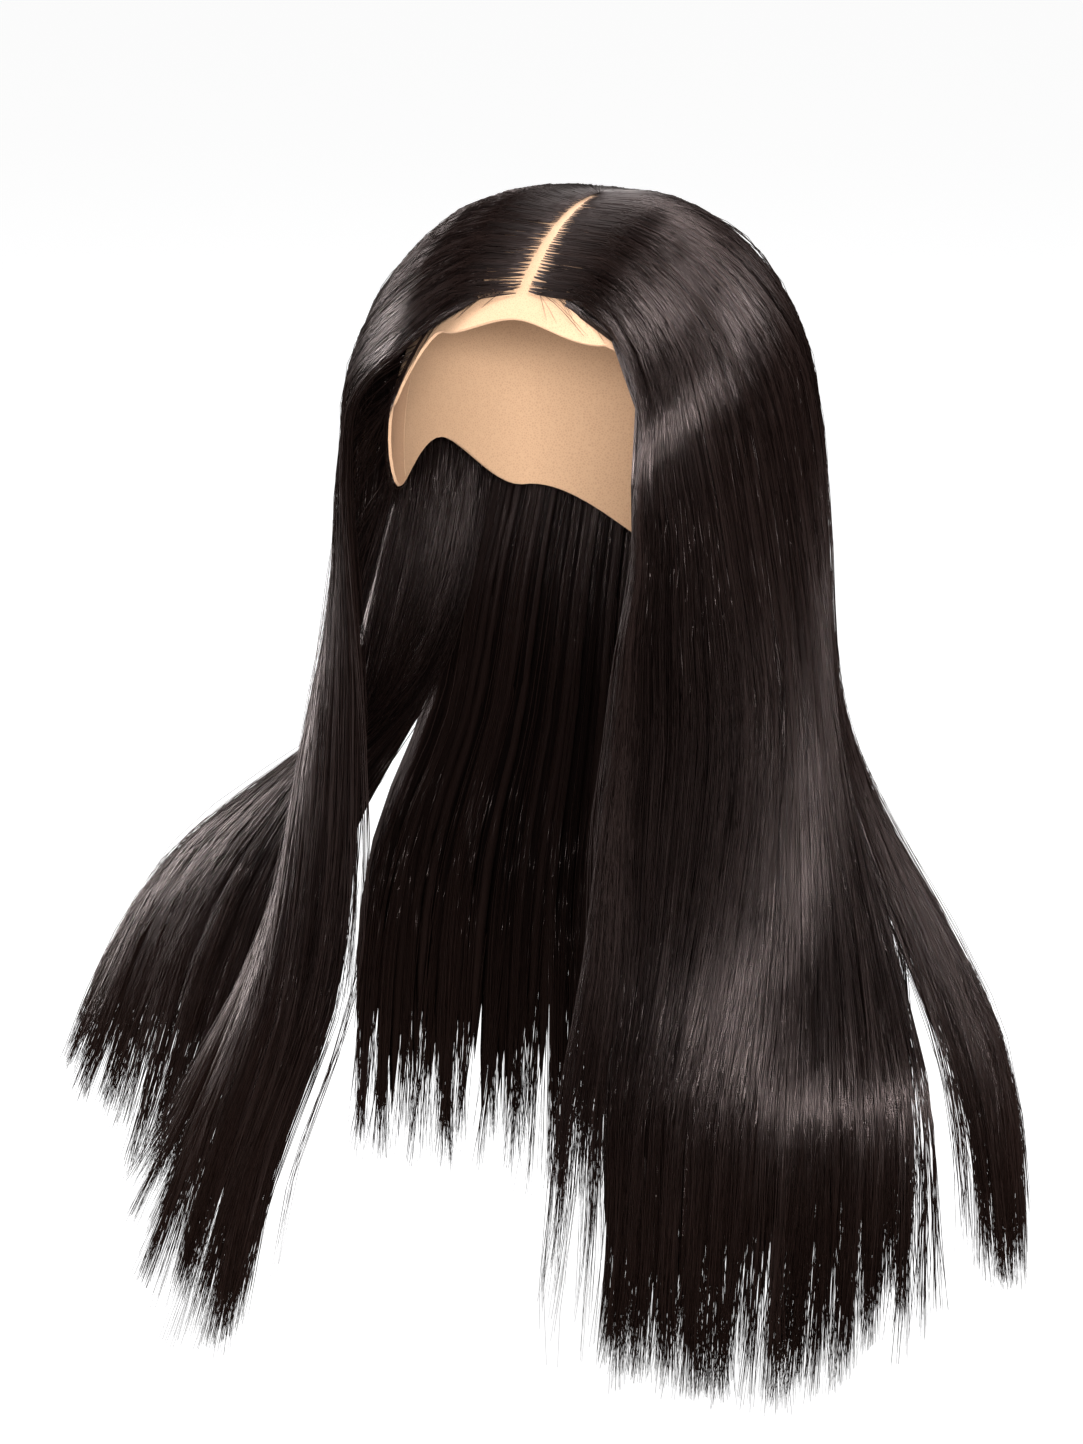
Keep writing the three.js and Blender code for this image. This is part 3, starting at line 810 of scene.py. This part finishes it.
def hair_material(name, lined):
    """Near-black brown hair, browner at its ends and duller at its roots. Locks carry fine lines."""
    material, nodes, links, shader = node_material(name, HAIR_ROUGHNESS[0])
    shader.inputs["Specular IOR Level"].default_value = HAIR_SPECULAR
    shader.inputs["Specular Tint"].default_value = (*HAIR_TINT, 1)
    shade = nodes.new("ShaderNodeAttribute")
    shade.attribute_name = "shade"
    tone = nodes.new("ShaderNodeValToRGB")
    tone.color_ramp.elements[0].color = (*HAIR_DARK, 1)
    tone.color_ramp.elements[1].color = (*HAIR_LIGHT, 1)
    along = nodes.new("ShaderNodeAttribute")
    along.attribute_name = "along"
    thin = nodes.new("ShaderNodeMapRange")
    thin.inputs["From Min"].default_value = HAIR_ENDS_FROM
    thin.inputs["To Max"].default_value = HAIR_ENDS_SHARE
    ends = nodes.new("ShaderNodeMix")
    ends.data_type = "RGBA"
    ends.inputs["B"].default_value = (*HAIR_ENDS, 1)
    dull = nodes.new("ShaderNodeMapRange")
    dull.inputs["To Min"].default_value = HAIR_ROUGHNESS[0]
    dull.inputs["To Max"].default_value = HAIR_ROUGHNESS[1]
    root = nodes.new("ShaderNodeMapRange")
    root.inputs["From Min"].default_value = ROOT_DULL[0]
    root.inputs["From Max"].default_value = ROOT_DULL[1]
    root.inputs["To Min"].default_value = ROOT_ROUGHNESS
    root.inputs["To Max"].default_value = 0
    duller = nodes.new("ShaderNodeMath")
    duller.operation = "MAXIMUM"
    links.new(shade.outputs["Fac"], dull.inputs["Value"])
    links.new(along.outputs["Fac"], root.inputs["Value"])
    links.new(dull.outputs["Result"], duller.inputs[0])
    links.new(root.outputs["Result"], duller.inputs[1])
    links.new(duller.outputs["Value"], shader.inputs["Roughness"])
    links.new(shade.outputs["Fac"], tone.inputs["Fac"])
    links.new(along.outputs["Fac"], thin.inputs["Value"])
    links.new(thin.outputs["Result"], ends.inputs["Factor"])
    links.new(tone.outputs["Color"], ends.inputs["A"])
    links.new(ends.outputs["Result"], shader.inputs["Base Color"])
    if lined:
        lines = nodes.new("ShaderNodeUVMap")
        lines.uv_map = "strand_lines"
        stretch = nodes.new("ShaderNodeMapping")
        stretch.inputs["Scale"].default_value = LOCK_LINES
        noise = nodes.new("ShaderNodeTexNoise")
        noise.inputs["Scale"].default_value = 1
        bump = nodes.new("ShaderNodeBump")
        bump.inputs["Strength"].default_value = LOCK_LINE_STRENGTH
        bump.inputs["Distance"].default_value = LOCK_LINE_DEPTH
        links.new(lines.outputs["UV"], stretch.inputs["Vector"])
        links.new(stretch.outputs["Vector"], noise.inputs["Vector"])
        links.new(noise.outputs["Fac"], bump.inputs["Height"])
        links.new(bump.outputs["Normal"], shader.inputs["Normal"])
    return material


def net_material(name, thread, hole, mesh_size, roughness):
    """A fine net: pale threads round darker openings."""
    material, nodes, links, shader = node_material(name, roughness)
    place = nodes.new("ShaderNodeTexCoord")
    cells = nodes.new("ShaderNodeTexVoronoi")
    cells.feature = "DISTANCE_TO_EDGE"
    cells.inputs["Scale"].default_value = 1 / mesh_size
    tone = nodes.new("ShaderNodeValToRGB")
    tone.color_ramp.elements[0].position = THREAD_EDGE
    tone.color_ramp.elements[0].color = (*thread, 1)
    tone.color_ramp.elements[1].position = HOLE_EDGE
    tone.color_ramp.elements[1].color = (*hole, 1)
    bump = nodes.new("ShaderNodeBump")
    bump.invert = True
    bump.inputs["Strength"].default_value = MESH_STRENGTH
    bump.inputs["Distance"].default_value = MESH_DEPTH
    links.new(place.outputs["Object"], cells.inputs["Vector"])
    links.new(cells.outputs["Distance"], tone.inputs["Fac"])
    links.new(cells.outputs["Distance"], bump.inputs["Height"])
    links.new(tone.outputs["Color"], shader.inputs["Base Color"])
    links.new(bump.outputs["Normal"], shader.inputs["Normal"])
    return material


def floor_material():
    material, _, _, shader = node_material("pale_floor", FLOOR_ROUGHNESS)
    shader.inputs["Base Color"].default_value = (*FLOOR_COLOUR, 1)
    shader.inputs["Emission Color"].default_value = (1, 1, 1, 1)
    shader.inputs["Emission Strength"].default_value = FLOOR_GLOW
    return material


# Cap and lace
def dome_object():
    """The whole cap from crown to edge, a closed skin, before the lace is parted from the net."""
    bearing = 360 * np.arange(CAP_BEARINGS) / CAP_BEARINGS
    share = np.linspace(0, 1, CAP_RINGS + 1)
    direction = head_direction(bearing[:, None], cap_edge(bearing)[:, None] * share[None, :])
    outer = off_head(direction, np.full(direction.shape[:2], CAP_WALL))
    inner = off_head(direction, np.zeros(direction.shape[:2]))
    index = np.arange(outer.size // 3).reshape(direction.shape[:2])
    turned = np.roll(index, -1, axis=0)
    below = index.size
    outside = np.stack([index[:, :-1], index[:, 1:], turned[:, 1:], turned[:, :-1]], axis=-1).reshape(-1, 4)
    inside = below + outside[:, ::-1]
    rim = np.stack([index[:, -1], below + index[:, -1], below + turned[:, -1], turned[:, -1]], axis=-1)
    mesh = bpy.data.meshes.new("dome")
    points = np.concatenate([outer.reshape(-1, 3), inner.reshape(-1, 3)])
    mesh.from_pydata(points.tolist(), [], np.concatenate([outside, inside, rim]).tolist())
    dome = bpy.data.objects.new("dome", mesh)
    bpy.context.scene.collection.objects.link(dome)
    weld = dome.modifiers.new("weld", "WELD")
    weld.merge_threshold = WELD_REACH
    return dome


def lace_outline(margin):
    """The T of the lace seen from above: a band along the hairline and a strip under the parting."""
    front = HEAD_CENTRE[1] - HEAD_RADII[1] * math.sin(math.radians(CAP_EDGE[0][1]))
    back = LACE_BAND_BACK + margin
    half = LACE_STRIP_WIDTH / 2 + margin
    sideways = HEAD_RADII[0] - LACE_BAND_DEPTH - margin
    crosswise = HEAD_CENTRE[1] - (front + LACE_BAND_DEPTH + margin)
    turn = math.asin((HEAD_CENTRE[1] - back) / crosswise)
    arc = np.linspace(-turn, -math.acos(half / sideways), CUTTER_ARC_STEPS)
    right = np.stack([sideways * np.cos(arc), HEAD_CENTRE[1] + crosswise * np.sin(arc)], axis=-1)
    round_end = np.linspace(0, math.pi, CUTTER_ARC_STEPS)
    end = np.stack([half * np.cos(round_end), LACE_STRIP_END + half * np.sin(round_end)], axis=-1)
    reach = CUTTER_REACH
    corners = np.array([[-reach, back], [-reach, -reach], [reach, -reach], [reach, back]])
    return np.concatenate([corners, right, end, right[::-1] * [-1, 1]])


def cutter_object(margin):
    outline = lace_outline(margin)
    count = len(outline)
    points = [(x, y, z) for z in (-CUTTER_REACH, CUTTER_REACH) for x, y in outline]
    faces = [list(range(count))[::-1], list(range(count, 2 * count))]
    faces += [[k, (k + 1) % count, count + (k + 1) % count, count + k] for k in range(count)]
    mesh = bpy.data.meshes.new("lace_cutter")
    mesh.from_pydata(points, [], faces)
    cutter = bpy.data.objects.new("lace_cutter", mesh)
    bpy.context.scene.collection.objects.link(cutter)
    return cutter


def cut_dome(name, operation, margin, material, node):
    """One of the dome's two parts, as a piece that stands for its node."""
    dome = dome_object()
    cutter = cutter_object(margin)
    cut = dome.modifiers.new("cut", "BOOLEAN")
    cut.operation = operation
    cut.solver = "EXACT"
    cut.object = cutter
    graph = bpy.context.evaluated_depsgraph_get()
    mesh = bpy.data.meshes.new_from_object(dome.evaluated_get(graph))
    bpy.data.objects.remove(dome)
    bpy.data.objects.remove(cutter)
    mesh.name = name
    mesh.polygons.foreach_set("use_smooth", np.full(len(mesh.polygons), True))
    mesh.set_sharp_from_angle(angle=SHARP_ANGLE)
    piece = link_piece(name, mesh, material)
    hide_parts(node)


# Floor, light and camera
def add_floor():
    mesh = bpy.data.meshes.new("floor")
    r = FLOOR_REACH
    corners = [(x, y, FLOOR_LEVEL) for x, y in ((-r, -r), (r, -r), (r, r), (-r, r))]
    mesh.from_pydata(corners, [], [(0, 1, 2, 3)])
    mesh.materials.append(floor_material())
    floor = bpy.data.objects.new("floor", mesh)
    bpy.context.scene.collection.objects.link(floor)
    floor.visible_glossy = False


def add_aimed(name, data, target, azimuth, elevation, distance):
    """A lamp or camera that looks at a target from an azimuth and an elevation, in degrees."""
    a = math.radians(azimuth)
    e = math.radians(elevation)
    back = np.array([math.sin(a) * math.cos(e), -math.cos(a) * math.cos(e), math.sin(e)])
    made = bpy.data.objects.new(name, data)
    bpy.context.scene.collection.objects.link(made)
    made.location = target + back * distance
    made.rotation_euler = Vector(-back).to_track_quat("-Z", "Y").to_euler()
    return made


def add_lights():
    for row in LIGHTS:
        data = bpy.data.lights.new(row["name"], "AREA")
        data.shape = "RECTANGLE"
        data.size, data.size_y = row["size"]
        data.energy = row["power"]
        add_aimed(row["name"], data, LIGHT_TARGET, row["azimuth"], row["elevation"], row["distance"])
    world = bpy.data.worlds.new("studio")
    world.use_nodes = True
    background = world.node_tree.nodes["Background"]
    background.inputs["Color"].default_value = (1, 1, 1, 1)
    background.inputs["Strength"].default_value = WORLD_STRENGTH
    bpy.context.scene.world = world


def add_camera():
    data = bpy.data.cameras.new("camera")
    data.lens = CAMERA_LENS
    data.sensor_width = CAMERA_SENSOR
    camera = add_aimed("camera", data, CAMERA_TARGET, CAMERA_AZIMUTH, CAMERA_ELEVATION, CAMERA_DISTANCE)
    bpy.context.scene.camera = camera


def dress_panel(number, panel, strand, bundle):
    """All the hair of one panel."""
    rng = np.random.default_rng(PANEL_SEED + number)
    surface = panel_surface(panel["guides"])
    clumps = clump_set(panel, rng)
    name = panel["name"]
    locks = tube_piece(name + "_locks", flat_locks(panel, surface, rng), LOCK_SIDES, bundle)
    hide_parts("hair_" + name)
    for family in FAMILY_RINGS:
        batch = gathered_strands(panel, surface, clumps, family, rng)
        tube_piece(name + "_" + family, [batch], STRAND_SIDES, strand)
    fine = [loose_strands(panel, surface, rng)]
    if panel["face"] is not None:
        fine.append(face_wisps(panel, surface, rng))
        fine.append(hairline_strands(panel, surface, rng))
    tube_piece(name + "_fine_hair", fine, STRAND_SIDES, strand)


add_camera()
add_floor()
add_lights()
bpy.context.scene.view_settings.view_transform = "Standard"
bpy.context.scene.cycles.max_bounces = BOUNCES
bpy.context.scene.cycles.glossy_bounces = GLOSSY_BOUNCES
bpy.context.scene.cycles.diffuse_bounces = DIFFUSE_BOUNCES

lace = net_material("front_lace", **LACE)
net = net_material("cap_net", **NET)
cut_dome("cap_net", "DIFFERENCE", SEAM_GAP, net, "cap")
cut_dome("front_lace", "INTERSECT", 0.0, lace, "lace_front")

strand = hair_material("straight_hair", False)
bundle = hair_material("hair_bundle", True)
for number, panel in enumerate(PANELS):
    dress_panel(number, panel, strand, bundle)
tube_piece("baby_hair", [baby_hair(np.random.default_rng(BABY_SEED))], STRAND_SIDES, strand)
